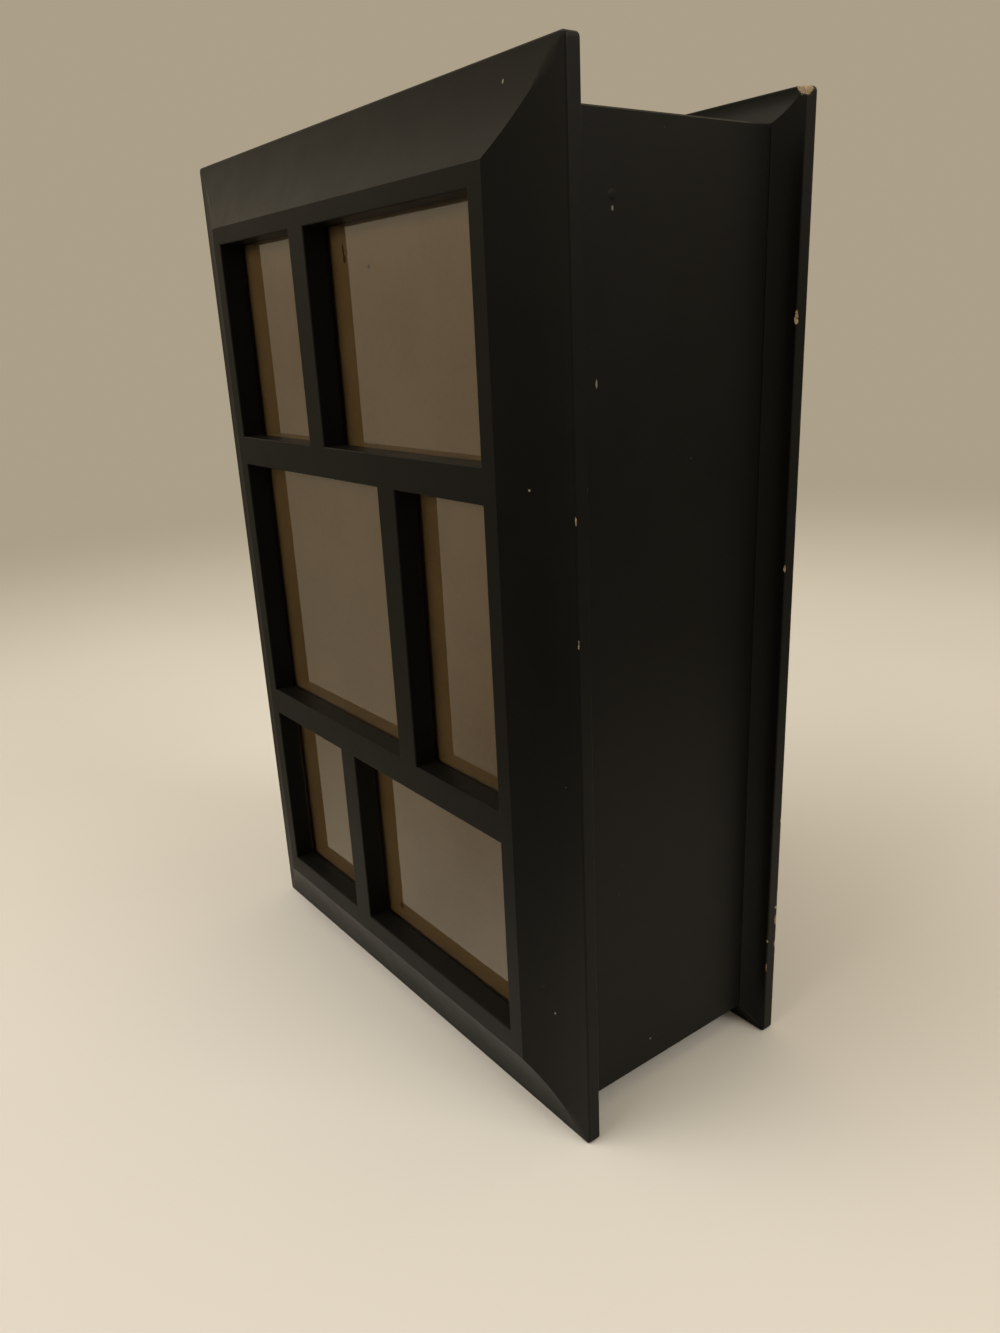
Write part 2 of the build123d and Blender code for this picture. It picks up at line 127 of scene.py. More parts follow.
plate_x = lid_high[0]
lid_arris_y = lid_high[1] - lid_edge_mm
base_arris_y = base_high[1] - base_edge_mm
base_top = base_high[2]
wall_low, wall_high = box_mm("wall_right")
wall_right_x = wall_high[0]
magnet_low, magnet_high = box_mm("lid_magnets")
magnet_radius_mm = (magnet_high[0] - magnet_low[0]) / 2
magnet_depth_mm = magnet_high[1] - magnet_low[1]
magnet_x = (magnet_low[0] + magnet_high[0]) / 2
magnet_places = [(magnet_x, magnet_low[2] + magnet_radius_mm), (magnet_x, magnet_high[2] - magnet_radius_mm)]

screw_low, screw_high = box_mm("base_screws")
screw_head_mm, screw_head_depth_mm, side_screw_inset_mm = 3.5, 1.75, 38.5
screw_x = screw_high[0] - screw_head_mm
wall_middle_z = (wall_low[2] + wall_high[2]) / 2
side_screw_z = [wall_low[2] + side_screw_inset_mm, wall_middle_z, wall_high[2] - side_screw_inset_mm]
screw_places = [(side * screw_x, z) for side in (-1, 1) for z in side_screw_z]
screw_places += [(0.0, screw_low[2] + screw_head_mm), (0.0, screw_high[2] - screw_head_mm)]
print("windows, each as left, right, bottom and top:")
for window in windows_mm:
    print([round(float(c), 1) for c in window])

# %% [markdown]
# Chips
#
# At a few places the paint is knocked off down to the tan board. Each chip is an egg-shaped bite: its
# place, its half lengths along the three axes and the way into the board. The same list dents the
# meshes and colours the paint, so a bare patch always lies in its dent.

# %% Places of the chips
into_front = (-1.0, 1.0, 0.0)
into_rear = (-1.0, -1.0, 0.0)
bite_share, deepest_bite_mm = 0.45, 0.4
chips_mm = [
    ((plate_x, lid_arris_y, 259.0), (0.5, 0.5, 2.2), into_front),
    ((plate_x, lid_arris_y, 216.4), (0.5, 0.5, 2.2), into_front),
    ((plate_x, base_arris_y, base_top), (4.4, 4.2, 3.5), (-0.5, 0.3, -1.0)),
    ((plate_x, base_arris_y, 317.8), (1.2, 1.3, 1.5), into_front),
    ((plate_x, base_arris_y, 318.6), (1.1, 1.2, 1.9), into_front),
    ((plate_x, base_arris_y, 319.6), (0.7, 0.8, 2.2), into_front),
    ((plate_x, base_arris_y, 223.8), (0.8, 0.8, 1.6), into_front),
    ((plate_x, base_arris_y, 49.8), (0.7, 0.7, 0.8), into_front),
    ((plate_x, base_high[1], 109.6), (0.8, 0.8, 1.4), into_rear),
    ((plate_x, base_high[1] - 1.1, 66.0), (0.9, 0.8, 0.8), into_rear),
    ((plate_x, base_high[1] - 0.9, 59.4), (0.6, 0.7, 2.6), into_rear),
    ((plate_x, base_high[1] - 0.6, 46.6), (0.6, 0.7, 2.0), into_rear),
    ((plate_x, base_arris_y, 36.0), (0.4, 0.4, 3.0), into_front),
]
print("chips in the paint:", len(chips_mm))

# %% [markdown]
# A moulded plate as two sheets on one grid
#
# A plate is a front sheet and a rear sheet over the same net of upright and level lines, joined by
# walls round the outline and round each window. The height of a sheet is a function of the distance
# to the nearest edge alone, so mitres appear by themselves where two edges are equally near.
#
# - Rounded arris of radius r: at a distance d from the edge the sheet has fallen back by
#   r minus the root of r squared less (r - d) squared.
# - Hollow cove: a circle through both ends of the cove. Its radius is (half chord squared plus sagitta
#   squared) over twice the sagitta, and its centre lies in front of the plate.
# - Round corners and round holes: the square with half side m about a centre becomes a circle of
#   radius m when each point is drawn in along its ray by the larger coordinate over its distance.
#   Outside a hole the change fades out over a short reach.
#
# The grid's lines stand close together at the arrises and the chips and far apart elsewhere.

# %% Height of a sheet


def fall(distance, radius):
    """How far a surface has fallen back at that distance from an edge rounded to the radius."""
    inside = np.clip(radius - distance, 0, radius)
    return radius - np.sqrt(radius ** 2 - inside ** 2)


def hollow(along, width, rise, sagitta):
    """Depth of a cove from 0 at its start to the rise at its width, as a circle that sags below the chord."""
    chord = math.hypot(width, rise)
    radius = (chord ** 2 / 4 + sagitta ** 2) / (2 * sagitta)
    centre_x = width / 2 + (radius - sagitta) * rise / chord
    centre_y = rise / 2 - (radius - sagitta) * width / chord
    along = np.clip(along, 0, width)
    return centre_y + np.sqrt(radius ** 2 - (along - centre_x) ** 2)


def lid_front(edge, window_edge):
    """The lid's face: field, cove and thin edge, with its arrises rounded."""
    cove = hollow(lid_cove_mm - edge, lid_cove_mm - cove_start_mm, lid_rise_mm, lid_sagitta_mm)
    return lid_low[1] + cove + fall(edge, lid_arris_mm) + fall(window_edge, window_arris_mm)


def lid_rear(edge, window_edge):
    """The lid's back: flat, with a rabbet for the panes round each window."""
    in_rabbet = window_edge < rabbet_mm + step_mm / 2
    return np.where(in_rabbet, glass_front_y, lid_high[1] - fall(edge, rear_arris_mm))


def base_front(edge, window_edge):
    """The base plate's face: flat behind the box, then a cove and a narrow ledge."""
    reach = plate_x - wall_right_x - base_shoulder_mm
    cove = hollow(reach - edge, reach - base_ledge_mm, base_rise_mm, base_sagitta_mm)
    return base_low[1] + cove + fall(edge, base_arris_mm)


def base_rear(edge, window_edge):
    return base_high[1] - fall(edge, rear_arris_mm)


# %% Lines of the grid
step_mm = 0.01
round_shares = 1 - np.cos(np.radians(np.arange(0, 91, 15)))
beyond_arris_mm = np.array([1.1, 1.5, plate_corner_mm, 2.8, 3.6])
disc_shares = np.array([0, 0.35, 0.7, 1.0])
chip_shares = np.linspace(-1.2, 1.2, 9)
hole_reach = 1.6
merge_mm, smallest_mm = 0.001, 1e-9
wall_rows_mm = np.array([0, 0.35, 0.8, 1.4, 2.2])
sharp_degrees = 21


def beside(edge, side, radius):
    """Lines from an edge into the board: close over the arris, then wider apart."""
    return edge + side * np.concatenate([radius * round_shares, beyond_arris_mm])


def through_hole(centre, radius):
    """Lines over a round hole, with a pair at its rim that makes the step."""
    outward = np.concatenate([radius * disc_shares, [radius + step_mm, radius * hole_reach]])
    return centre + np.concatenate([-outward, outward])


def all_lines(*groups):
    return np.concatenate([np.ravel(group) for group in groups])


def with_mitres(lines_x, lines_z, low, high, cove_reach):
    """Both sets in order. Over the cove all four edges get the same distances, so that mitres meet lines."""
    edges = ((lines_x, low[0], high[0]), (lines_z, low[2], high[2]))
    inward = all_lines(*[(lines - first, last - lines) for lines, first, last in edges])
    inward = inward[(inward > -step_mm) & (inward < cove_reach + step_mm)]
    both = []
    for lines, first, last in edges:
        lines = all_lines(lines, first, first + inward, last - inward, last)
        lines = np.unique(np.round(lines, 3))
        both.append(lines[(lines > first - step_mm) & (lines < last + step_mm)])
    return both


# %% The plate's mesh


def drawn_round(u, v):
    """Larger coordinate of each point and the share that draws its square in to a circle."""
    larger = np.maximum(np.abs(u), np.abs(v))
    return larger, larger / np.maximum(np.hypot(u, v), smallest_mm)


def moulded_plate(name, body, node, lines, sheets, windows, holes, wear_mm=0.9):
    """A plate from its lines, its two height functions, its windows and its round holes at the rear."""
    low, high = box_mm(node)
    x, z = np.meshgrid(*lines, indexing="ij")
    sunk = np.zeros_like(x)
    for (centre_x, centre_z), radius, depth, conical in holes:
        u, v = x - centre_x, z - centre_z
        larger, share = drawn_round(u, v)
        fade = np.clip((hole_reach * radius - larger) / ((hole_reach - 1) * radius), 0, 1)
        scale = 1 + (share - 1) * fade
        x, z = centre_x + u * scale, centre_z + v * scale
        cone = np.clip(radius - larger, 0, depth)
        sunk += cone if conical else depth * (larger < radius + step_mm / 2)

    # distances to the outline and to the nearest window, the latter negative inside it
    edge = np.minimum.reduce([x - low[0], high[0] - x, z - low[2], high[2] - z])
    window_edge = np.full_like(x, np.inf)
    for left, right, bottom, top in windows:
        outside = np.maximum.reduce([left - x, x - right, bottom - z, z - top])
        window_edge = np.minimum(window_edge, outside)
    front = sheets[0](edge, window_edge)
    rear = sheets[1](edge, window_edge) - sunk
    wear = np.exp(-np.clip(np.minimum(edge, window_edge), 0, None) / wear_mm)

    # the outline's corners are drawn round
    middle_x, middle_z = (low[0] + high[0]) / 2, (low[2] + high[2]) / 2
    straight_x = (high[0] - low[0]) / 2 - plate_corner_mm
    straight_z = (high[2] - low[2]) / 2 - plate_corner_mm
    u = np.clip(np.abs(x - middle_x) - straight_x, 0, None)
    v = np.clip(np.abs(z - middle_z) - straight_z, 0, None)
    share = np.where((u > 0) & (v > 0), drawn_round(u, v)[1], 1)
    x = np.where(u > 0, middle_x + np.sign(x - middle_x) * (straight_x + u * share), x)
    z = np.where(v > 0, middle_z + np.sign(z - middle_z) * (straight_z + v * share), z)

    # the cells that are board, those on a mitre as two halves, and the edges between board and air
    cell_x, cell_z = np.meshgrid(*[(line[1:] + line[:-1]) / 2 for line in lines], indexing="ij")
    board = np.ones_like(cell_x, bool)
    for left, right, bottom, top in windows:
        board &= ~((cell_x > left) & (cell_x < right) & (cell_z > bottom) & (cell_z < top))
    padded = np.pad(board, 1)
    number = np.arange(x.size).reshape(x.shape)
    upright = padded[1:, 1:-1] != padded[:-1, 1:-1]
    level = padded[1:-1, 1:] != padded[1:-1, :-1]
    first = np.concatenate([number[:, :-1][upright], number[:-1][level]])
    second = np.concatenate([number[:, 1:][upright], number[1:][level]])

    # both sheets, then the walls with rows that are close together near either sheet
    points = [np.stack([x, y, z], -1).reshape(-1, 3) for y in (front, rear)]
    fades = [wear.ravel(), wear.ravel()]
    corners = np.stack([number[:-1, :-1], number[1:, :-1], number[1:, 1:], number[:-1, 1:]], -1)
    from_x, from_z = cell_x - middle_x, cell_z - middle_z
    off_mitre = np.abs((high[0] - middle_x - np.abs(from_x)) - (high[2] - middle_z - np.abs(from_z)))
    mitre = board & (off_mitre < step_mm / 2)
    rising = mitre & (from_x * from_z > 0)
    falling = mitre & (from_x * from_z < 0)
    halves = [corners[rising][:, [0, 1, 2]], corners[rising][:, [0, 2, 3]],
              corners[falling][:, [0, 1, 3]], corners[falling][:, [1, 2, 3]]]
    faces = [*halves, corners[board & ~mitre]]
    faces += [part[:, ::-1] + x.size for part in faces]
    ends = np.stack([first, second], 1)
    rows = [points[0][ends] + (0, inward, 0) for inward in wall_rows_mm]
    rows += [points[1][ends] - (0, inward, 0) for inward in wall_rows_mm[::-1]]
    rows = np.stack(rows, 1)
    row_wear = np.exp(-np.concatenate([wall_rows_mm, wall_rows_mm[::-1]]) / wear_mm)
    walls = 2 * x.size + np.arange(rows.size // 3).reshape(rows.shape[:3])
    sides = [walls[:, :-1, 0], walls[:, 1:, 0], walls[:, 1:, 1], walls[:, :-1, 1]]
    faces.append(np.stack(sides, -1).reshape(-1, 4))
    points = np.concatenate([*points, rows.reshape(-1, 3)])
    fades.append(np.broadcast_to(row_wear[None, :, None], rows.shape[:3]).ravel())

    for centre, half_lengths, inward in chips_mm:
        reach = np.linalg.norm((points - centre) / half_lengths, axis=1)
        bite = min(bite_share * min(half_lengths), deepest_bite_mm) * np.clip(1 - reach ** 2, 0, None)
        points += bite[:, None] * np.array(inward) / np.linalg.norm(inward)

    mesh = bpy.data.meshes.new(name)
    mesh.from_pydata((points * MM).tolist(), [], [face for part in faces for face in part.tolist()])
    mesh.attributes.new("arris", "FLOAT", "POINT").data.foreach_set("value", np.concatenate(fades))
    tidy = bmesh.new()
    tidy.from_mesh(mesh)
    bmesh.ops.delete(tidy, geom=[v for v in tidy.verts if not v.link_faces], context="VERTS")
    bmesh.ops.remove_doubles(tidy, verts=tidy.verts, dist=merge_mm * MM)
    bmesh.ops.recalc_face_normals(tidy, faces=tidy.faces)
    tidy.to_mesh(mesh)
    tidy.free()
    mesh.shade_smooth()
    mesh.set_sharp_from_angle(angle=math.radians(sharp_degrees))
    plate = bpy.data.objects.new(name, mesh)
    bpy.context.scene.collection.objects.link(plate)
    flat_first = plate.modifiers.new("flat faces keep their shading", "WEIGHTED_NORMAL")
    flat_first.keep_sharp = True
    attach(plate, body)
    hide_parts(node)
    print(name, "has", len(mesh.polygons), "faces")
    return plate


# %% The frame lid
window_x = [beside(left, -1, window_arris_mm) for left, right, bottom, top in windows_mm]
window_x += [beside(right, 1, window_arris_mm) for left, right, bottom, top in windows_mm]
window_z = [beside(bottom, -1, window_arris_mm) for left, right, bottom, top in windows_mm]
window_z += [beside(top, 1, window_arris_mm) for left, right, bottom, top in windows_mm]
rabbet_pair = np.array([rabbet_mm, rabbet_mm + step_mm])
rabbet_x = [[left - rabbet_pair, right + rabbet_pair] for left, right, bottom, top in windows_mm]
rabbet_z = [[bottom - rabbet_pair, top + rabbet_pair] for left, right, bottom, top in windows_mm]
cove_mm = np.linspace(0, 1, 9) * (lid_cove_mm - beyond_arris_mm[-1]) + beyond_arris_mm[-1]
lid_chips = [place[2] + half[2] * chip_shares for place, half, inward in chips_mm if place[1] < lid_high[1]]
lid_cove_offsets = np.concatenate([beside(0, 1, lid_arris_mm), cove_mm])
lid_lines_x = all_lines(lid_low[0] + lid_cove_offsets, *window_x, *rabbet_x,
                        through_hole(magnet_x, magnet_radius_mm))
lid_lines_z = all_lines(*window_z, *rabbet_z, *lid_chips,
                        *[through_hole(z, magnet_radius_mm) for x, z in magnet_places])
lid_lines = with_mitres(lid_lines_x, lid_lines_z, lid_low, lid_high, lid_cove_mm)
lid_holes = [(place, magnet_radius_mm, magnet_depth_mm, False) for place in magnet_places]
lid_sheets = (lid_front, lid_rear)
lid_plate = moulded_plate("lid_board", "lid", "frame_lid", lid_lines, lid_sheets, windows_mm, lid_holes)

# %% The base plate
base_cove_mm = np.linspace(base_ledge_mm, plate_x - wall_right_x - base_shoulder_mm, 8)
base_chips = [place[2] + half[2] * chip_shares for place, half, inward in chips_mm if place[1] > lid_high[1]]
base_cove_offsets = np.concatenate([beside(0, 1, base_arris_mm), base_cove_mm])
base_lines_x = all_lines(base_low[0] + base_cove_offsets,
                         *[through_hole(x, screw_head_mm) for x in (-screw_x, 0.0, screw_x)])
base_lines_z = all_lines(*base_chips, *[through_hole(z, screw_head_mm) for x, z in screw_places])
base_lines = with_mitres(base_lines_x, base_lines_z, base_low, base_high, plate_x - wall_right_x)
base_holes = [(place, screw_head_mm, screw_head_depth_mm, True) for place in screw_places]
base_sheets = (base_front, base_rear)
rear_plate = moulded_plate("base_board", "box", "base_plate", base_lines, base_sheets, [], base_holes)

# %% [markdown]
# Shader maths as arithmetic
#
# A material is a net of nodes, and typing links between Math nodes hides what is being computed. A small
# class that wraps a socket and overloads the operators lets a mask be written as an expression. Another
# holds the material, or the world, and makes any other node from its type, its settings and its inputs.

# %% A socket that does arithmetic


class Wire:
    """One output socket. Arithmetic on it adds Math nodes and gives back a new wire."""

    def __init__(self, finish, socket):
        self.finish = finish
        self.socket = socket

    def _math(self, operation, *values):
        return self.finish.node("ShaderNodeMath", {"operation": operation}, dict(enumerate(values)))

    def __add__(self, other):
        return self._math("ADD", self, other)

    def __sub__(self, other):
        return self._math("SUBTRACT", self, other)

    def __mul__(self, other):
        return self._math("MULTIPLY", self, other)

    def __radd__(self, other):
        return self._math("ADD", other, self)

    def __rsub__(self, other):
        return self._math("SUBTRACT", other, self)

    def __rmul__(self, other):
        return self._math("MULTIPLY", other, self)

    def above(self, low, high):
        """0 below low, 1 above high and a smooth step between them."""
        settings = {"interpolation_type": "SMOOTHSTEP"}
        inputs = {"Value": self, "From Min": low, "From Max": high}
        return self.finish.node("ShaderNodeMapRange", settings, inputs)

    def below(self, low, high):
        """1 below low, 0 above high and a smooth step between them."""
        return 1 - self.above(low, high)

    def larger(self, other):
        return self._math("MAXIMUM", self, other)


class Finish:
    """The nodes of a material, or of the world, under construction."""

    def __init__(self, owner, output="ShaderNodeOutputMaterial"):
        self.owner = owner
        self.output = output
        owner.use_nodes = True
        self.tree = owner.node_tree
        self.tree.nodes.clear()

    def node(self, kind, settings=None, inputs=None, output=0):
        """A node of that type, with its settings made first and then its sockets filled or linked."""
        made = self.tree.nodes.new(kind)
        for key, value in (settings or {}).items():
            setattr(made, key, value)
        for key, value in (inputs or {}).items():
            if isinstance(value, Wire):
                self.tree.links.new(value.socket, made.inputs[key])
            else:
                made.inputs[key].default_value = value
        return Wire(self, made.outputs[output])

    def vector(self, operation, first, second, output=0):
        """Vector arithmetic on two places."""
        return self.node("ShaderNodeVectorMath", {"operation": operation}, {0: first, 1: second}, output)

    def place_mm(self):
        """The point on the piece in millimetres, in the object's own frame."""
        place = self.node("ShaderNodeTexCoord", output="Object")
        settings = {"operation": "SCALE"}
        return self.node("ShaderNodeVectorMath", settings, {0: place, "Scale": 1 / MM})

    def part(self, place, axis):
        """One coordinate of a place: X, Y or Z."""
        return self.node("ShaderNodeSeparateXYZ", {}, {0: place}, axis)

    def noise(self, place, size_mm, detail=2.0, roughness=0.5):
        """Cloudy noise from 0 to 1 with features of about that size."""
        inputs = {"Vector": place, "Scale": 1 / size_mm, "Detail": detail, "Roughness": roughness}
        return self.node("ShaderNodeTexNoise", {}, inputs)

    def specks(self, place, spacing_mm):
        """Distance in cells to the nearest of a scatter of points, for dots."""
        return self.node("ShaderNodeTexVoronoi", {}, {"Vector": place, "Scale": 1 / spacing_mm})

    def attribute(self, name):
        return self.node("ShaderNodeAttribute", {"attribute_name": name}, output="Fac")

    def mix(self, factor, first, second):
        """A colour from first at factor 0 to second at factor 1."""
        made = self.tree.nodes.new("ShaderNodeMix")
        made.data_type = "RGBA"
        for socket, value in zip((made.inputs[0], made.inputs[6], made.inputs[7]), (factor, first, second)):
            if isinstance(value, Wire):
                self.tree.links.new(value.socket, socket)
            else:
                socket.default_value = value if isinstance(value, float) else (*value, 1.0)
        return Wire(self, made.outputs[2])

    def reach(self, place, centre, half_lengths):
        """0 at the centre and 1 on the egg with those half lengths round it."""
        away = self.vector("SUBTRACT", place, centre)
        away = self.vector("DIVIDE", away, half_lengths)
        return self.node("ShaderNodeVectorMath", {"operation": "LENGTH"}, {0: away}, "Value")

    def bump(self, height, depth_mm, under=None):
        """A normal from a height between 0 and 1 that stands for that many millimetres."""
        inputs = {"Height": height, "Strength": 1.0, "Distance": depth_mm * MM}
        if under is not None:
            inputs["Normal"] = under
        return self.node("ShaderNodeBump", {}, inputs)

    def done(self, shader):
        end = self.tree.nodes.new(self.output)
        self.tree.links.new(shader.socket, end.inputs["Surface"])
        return self.owner


# %% [markdown]
# The black paint
#
# The boards are fibreboard sprayed satin black. Close up the paint has a fine orange peel over the
# board's fibres, a cloudy sheen from handling, and dust. It mirrors less than a smooth coat would, which
# a low index stands for. The paint is thinnest on the arrises, where those at the back are rubbed brown,
# and in the chips it is gone down to the tan board. The plates carry an attribute called arris, 1 on an
# arris and fading over a millimetre, which says where. One screw hole in the right wall was filled before
# painting and shows as a faint low dome.

# %% Black paint
filled_hole_mm = (wall_right_x, -25.1, 358.9)
filled_hole_radius_mm = 2.0
paint_ior = 1.22
lint_mm = [((118.5, -57.4, 268.0), 0.6), ((121.5, -56.3, 58.0), 0.6), ((109.0, -54.3, 391.5), 0.9),
           ((wall_right_x, -7.0, 23.0), 0.6), ((wall_right_x, -33.0, 301.0), 1.8),
           ((wall_right_x, -25.0, 355.0), 1.0)]
lint_half_width_mm = 0.55


def black_paint():
    finish = Finish(bpy.data.materials.new("satin_black_paint"))
    place = finish.place_mm()
    arris = finish.attribute("arris")
    cloud = finish.noise(place, 45, 3)
    handling = finish.noise(place, 14, 4, 0.6)
    peel = finish.noise(place, 1.6, 2)
    fibre = finish.noise(place, 0.45, 3, 0.6)
    ragged = finish.noise(place, 0.7, 3, 0.6)

    # chips: ragged eggs of bare board
    bare = None
    for centre, half_lengths, inward in chips_mm:
        reach = finish.reach(place, centre, half_lengths) + (ragged - 0.5) * 0.6
        spot = reach.below(0.86, 1.0)
        bare = spot if bare is None else bare.larger(spot)

    dust = finish.specks(place, 8).below(0.014, 0.024) * finish.noise(place, 30, 1).above(0.52, 0.64)
    for centre, half_height in lint_mm:
        reach = finish.reach(place, centre, (lint_half_width_mm, lint_half_width_mm, half_height))
        dust = dust.larger(reach.below(0.5, 1.0))
    streaks = finish.noise(finish.vector("MULTIPLY", place, (1.0, 1.0, 0.12)), 0.9, 3, 0.6)
    on_base = finish.part(place, "Y").above(base_arris_y + 2, base_arris_y + 4)
    rubbed = arris.above(0.55, 0.95) * streaks.above(0.5, 0.66) * on_base

    black = finish.mix(cloud, (0.0029, 0.0028, 0.0022), (0.0044, 0.0043, 0.0033))
    black = finish.mix(rubbed * 0.8, black, (0.10, 0.062, 0.032))
    black = finish.mix(dust * 0.7, black, (0.22, 0.20, 0.16))
    board = finish.mix(fibre.above(0.3, 0.7), (0.14, 0.105, 0.068), (0.33, 0.25, 0.16))
    colour = finish.mix(bare, black, board)

    sheen = 0.42 + (handling - 0.5) * 0.14 + (cloud - 0.5) * 0.08
    roughness = sheen + bare * 0.45 + dust * 0.3
    dome = finish.reach(place, filled_hole_mm, (filled_hole_radius_mm,) * 3).below(0.2, 1.1)
    normal = finish.bump(peel * 0.75 + fibre * 0.25, 0.012)
    normal = finish.bump(dome, 0.12, normal)
    normal = finish.bump(bare * (fibre * 0.5 - 1), 0.15, normal)
    shader = finish.node("ShaderNodeBsdfPrincipled", {}, {
        "Base Color": colour, "Roughness": roughness, "Normal": normal, "IOR": paint_ior,
    })
    return finish.done(shader)


paint = black_paint()
for plate in (lid_plate, rear_plate):
    plate.data.materials.append(paint)
print("material made:", paint.name)

# %% [markdown]
# Clear glass
#
# A pane this thin hardly bends the light, it only reflects some of it. A mix of a clear shader and a
# mirror by the Fresnel share keeps what lies behind the pane bright, where a solid glass shader would
# need light to be traced through it. Front and rear face reflect about twice as much as one face of
# glass with its index of 1.5, which an index of 1.9 stands for. A faint film of wipe marks shows on it.

# %% Glass
both_faces_ior = 1.9


def clear_glass():
    finish = Finish(bpy.data.materials.new("clear_glass"))
    place = finish.place_mm()
    film = finish.noise(finish.vector("MULTIPLY", place, (1.0, 1.0, 0.25)), 22, 4, 0.65)
    dots = finish.specks(place, 9).below(0.014, 0.026) * finish.noise(place, 25, 1).above(0.52, 0.6)
    share = finish.node("ShaderNodeFresnel", {}, {"IOR": both_faces_ior})
    clear = finish.node("ShaderNodeBsdfTransparent", {}, {"Color": (0.94, 0.96, 0.95, 1.0)})
    gloss = finish.node("ShaderNodeBsdfPrincipled", {}, {
        "Base Color": (0.95, 0.96, 0.96, 1.0), "Metallic": 1.0,
        "Roughness": film.above(0.45, 0.75) * 0.05 + 0.015,
    })
    lint_inputs = {"Base Color": (0.5, 0.46, 0.38, 1.0), "Roughness": 0.9}
    lint = finish.node("ShaderNodeBsdfPrincipled", {}, lint_inputs)
    surface = finish.node("ShaderNodeMixShader", {}, {0: share, 1: clear, 2: gloss})
    surface = finish.node("ShaderNodeMixShader", {}, {0: dots * 0.7, 1: surface, 2: lint})
    return finish.done(surface)


glass = clear_glass()
print("material made:", glass.name)

# %% [markdown]
# Backing board
#
# Behind each pane lies a piece of plain brown board. It is pressed from fibres, so its colour is
# mottled at the scale of a millimetre, with a few dark flecks and small stains.

# %% Backing board
stains_mm = [((-6.2, 353.0), (0.8, 2.6)), ((-5.6, 349.4), (1.3, 1.6)), ((13.3, 345.3), (1.0, 0.8)),
             ((-6.0, 47.0), (1.3, 1.6))]
backing_front_y = box_mm(panes[0].replace("glass", "backing"))[0][1]


def backing_board():
    finish = Finish(bpy.data.materials.new("brown_backing_board"))
    place = finish.place_mm()
    mottle = finish.noise(place, 3.0, 4, 0.6)
    broad = finish.noise(place, 40, 2)
    fibres = finish.noise(finish.vector("MULTIPLY", place, (1.0, 1.0, 0.3)), 0.5, 3, 0.65)
    flecks = finish.specks(place, 6).below(0.03, 0.06) * finish.noise(place, 12, 1).above(0.52, 0.62)
    colour = finish.mix(mottle, (0.205, 0.119, 0.046), (0.262, 0.158, 0.064))
    colour = finish.mix(broad.above(0.4, 0.65) * 0.3, colour, (0.30, 0.19, 0.088))
    colour = finish.mix(fibres.above(0.55, 0.8) * 0.3, colour, (0.35, 0.24, 0.128))
    colour = finish.mix(flecks * 0.6, colour, (0.045, 0.026, 0.012))
    for (x, z), (half_width, half_height) in stains_mm:
        reach = finish.reach(place, (x, backing_front_y, z), (half_width, 0.5, half_height)) + (mottle - 0.5)
        colour = finish.mix(reach.below(0.8, 1.05) * 0.85, colour, (0.03, 0.016, 0.008))
    normal = finish.bump(mottle * 0.4 + fibres * 0.6, 0.03)
    shader = finish.node("ShaderNodeBsdfPrincipled", {}, {
        "Base Color": colour, "Roughness": fibres * 0.2 + 0.7, "Normal": normal, "Specular IOR Level": 0.3,
    })
    return finish.done(shader)


backing = backing_board()
print("material made:", backing.name)

# %% [markdown]
# The metals
#
# The hidden hardware is small: zinc-plated turn buttons, brass-plated hinges, dark screws and nickel
# magnets. Each is a metal with its own tint, drawn or tumbled marks, and tarnish that gathers in
# patches. One function makes them all, because only the colours and the roughness differ.

# %% Metals


def plated_metal(name, bright, dull, roughness, grain=(1.0, 1.0, 1.0)):
    """A plated metal from its bright and tarnished colours, its roughness and the way its marks run."""
    finish = Finish(bpy.data.materials.new(name))
    place = finish.place_mm()
    tarnish = finish.noise(place, 3.5, 4, 0.6)
    marks = finish.noise(finish.vector("MULTIPLY", place, grain), 0.35, 3, 0.6)
    colour = finish.mix(tarnish.above(0.42, 0.72), bright, dull)
    worn = roughness + (tarnish - 0.5) * 0.25 + (marks - 0.5) * 0.12
    shader = finish.node("ShaderNodeBsdfPrincipled", {}, {
        "Base Color": colour, "Metallic": 1.0, "Roughness": worn, "Normal": finish.bump(marks, 0.012),
    })
    return finish.done(shader)


zinc = plated_metal("zinc_plate", (0.66, 0.67, 0.66), (0.42, 0.43, 0.42), 0.34)
brass = plated_metal("brass_plate", (0.62, 0.47, 0.22), (0.34, 0.24, 0.11), 0.33, (1.0, 1.0, 0.15))
dark_steel = plated_metal("dark_steel", (0.06, 0.06, 0.062), (0.03, 0.03, 0.03), 0.45)
nickel = plated_metal("nickel_plate", (0.66, 0.63, 0.58), (0.5, 0.47, 0.42), 0.24)

finish_of_slot = {
    "black_paint": paint, "clear_glass": glass, "backing_board": backing, "zinc_steel": zinc,
    "hinge_brass": brass, "black_screw": dark_steel, "magnet_nickel": nickel,
}
for row in frame["record"]["subparts"]:
    node_mesh = frame["nodes"][row["node"]].data
    node_mesh.materials.clear()
    node_mesh.materials.append(finish_of_slot[row["material_slot"]])

# %% [markdown]
# Floor, light and room
#
# The object stands on a plain pale floor in warm room light from above and in front. Black satin paint
# shows little but reflections, so the room matters. It is one pale wall all round, which the camera sees
# plain. Paint, metal and glass mirror the same wall as a room shades it: bright towards the ceiling, a
# little less so to the left front, which the panes mirror, and dark straight in front. Far away the floor
# turns into that wall, for the camera as for reflections, so that no horizon shows in either.

# %% Room
wall_colour = (0.41, 0.347, 0.25, 1.0)
straight_front, left_front = (-0.3, -0.954, 0.0), (-0.766, -0.643, 0.0)
level_all_round, more_above, more_left_front, less_in_front = 0.52, 1.45, 0.5, 0.46


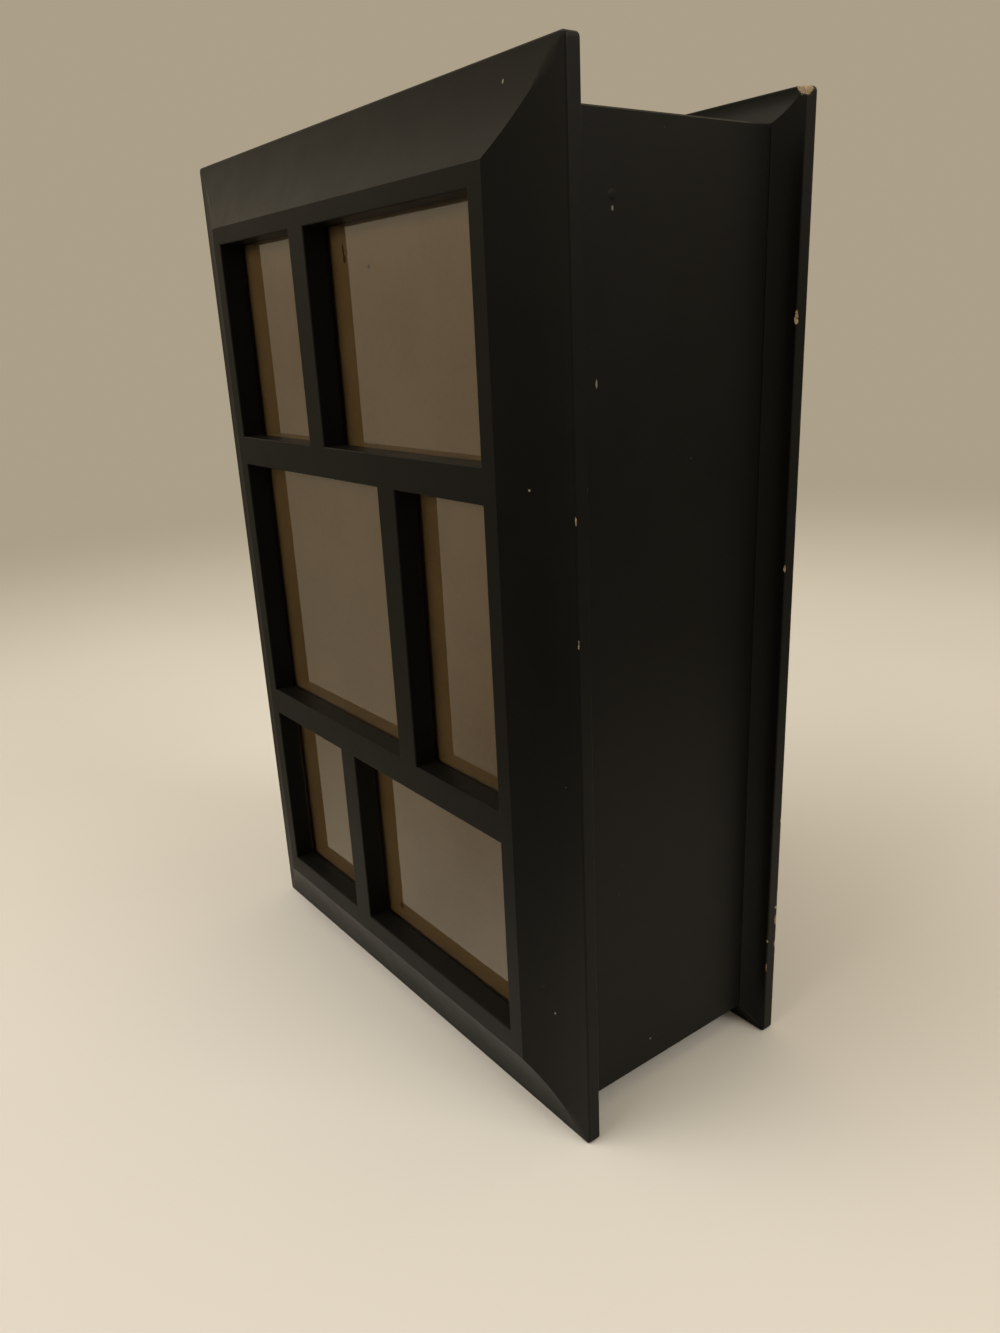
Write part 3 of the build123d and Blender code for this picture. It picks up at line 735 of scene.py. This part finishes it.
def room_level(finish, direction):
    """Strength of the wall: 1 for the camera, also through glass, and shaded by direction for other rays."""
    ceiling = finish.part(direction, "Z").above(-0.03, 0.3)
    towards_front = finish.vector("DOT_PRODUCT", direction, straight_front, "Value")
    towards_left = finish.vector("DOT_PRODUCT", direction, left_front, "Value")
    dark = towards_front.above(0.8, 0.97) * (1 - ceiling)
    pale = towards_left.above(0.93, 0.998) * (1 - ceiling)
    shaded = level_all_round + ceiling * more_above + pale * more_left_front - dark * less_in_front
    camera_ray = finish.node("ShaderNodeLightPath", output="Is Camera Ray")
    through_glass = finish.node("ShaderNodeLightPath", output="Is Transmission Ray")
    plain = camera_ray.larger(through_glass)
    return plain.larger(shaded * (1 - plain))


def pale_room():
    finish = Finish(bpy.data.worlds.new("pale_room"), "ShaderNodeOutputWorld")
    direction = finish.node("ShaderNodeTexCoord", output="Generated")
    inputs = {"Color": wall_colour, "Strength": room_level(finish, direction)}
    return finish.done(finish.node("ShaderNodeBackground", {}, inputs))


bpy.context.scene.world = pale_room()
bpy.context.scene.view_settings.view_transform = "Standard"

# %% Floor
table_middle_mm = (140.0, 90.0, 0.0)
fade_in_mirrors_mm, fade_seen_mm = (150, 560), (460, 1720)


def pale_floor():
    finish = Finish(bpy.data.materials.new("pale_floor"))
    place = finish.place_mm()
    cloud = finish.noise(place, 300, 2)
    pale = finish.mix(cloud, (0.495, 0.482, 0.455), (0.543, 0.53, 0.5))
    seen = finish.node("ShaderNodeLightPath", output="Is Camera Ray")
    direction = finish.node("ShaderNodeVectorMath", {"operation": "NORMALIZE"}, {0: place})
    start, end = [near + seen * (far - near) for near, far in zip(fade_in_mirrors_mm, fade_seen_mm)]
    away = finish.reach(place, table_middle_mm, (1.0, 1.0, 1.0)).above(start, end)
    near = finish.node("ShaderNodeBsdfPrincipled", {}, {
        "Base Color": pale, "Roughness": 0.9, "Specular IOR Level": 0.2,
    })
    inputs = {"Color": wall_colour, "Strength": room_level(finish, direction)}
    far = finish.node("ShaderNodeEmission", {}, inputs)
    return finish.done(finish.node("ShaderNodeMixShader", {}, {0: away, 1: near, 2: far}))


floor_reach = 6.0
floor_mesh = bpy.data.meshes.new("floor")
floor_corners = [(-floor_reach, -floor_reach, 0), (floor_reach, -floor_reach, 0),
                 (floor_reach, floor_reach, 0), (-floor_reach, floor_reach, 0)]
floor_mesh.from_pydata(floor_corners, [], [(0, 1, 2, 3)])
floor_mesh.materials.append(pale_floor())
floor = bpy.data.objects.new("floor", floor_mesh)
bpy.context.scene.collection.objects.link(floor)

# %% Lamps


def soft_lamp(name, place, aim, size, watts, colour, highlights=True):
    """A square lamp at a place that shines at the aim, both in metres. A plain fill gives no highlights."""
    lamp_data = bpy.data.lights.new(name, "AREA")
    lamp_data.shape = "SQUARE"
    lamp_data.size = size
    lamp_data.energy = watts
    lamp_data.color = colour
    lamp = bpy.data.objects.new(name, lamp_data)
    lamp.location = place
    direction = np.array(aim) - np.array(place)
    lamp.rotation_euler = (math.atan2(math.hypot(direction[0], direction[1]), -direction[2]), 0,
                           math.atan2(direction[0], -direction[1]) + math.pi)
    lamp.visible_glossy = highlights
    bpy.context.scene.collection.objects.link(lamp)


warm_white = (1.0, 0.965, 0.91)
soft_lamp("ceiling_light", (-0.5, -0.9, 2.2), (0, 0, 0.1), 1.2, 16, warm_white)
soft_lamp("front_light", (-0.45, -2.0, 1.3), (0, 0, 0.2), 2.4, 41, warm_white, highlights=False)
soft_lamp("side_fill", (1.9, 0.6, 1.5), (0, 0, 0.1), 1.2, 24, warm_white)
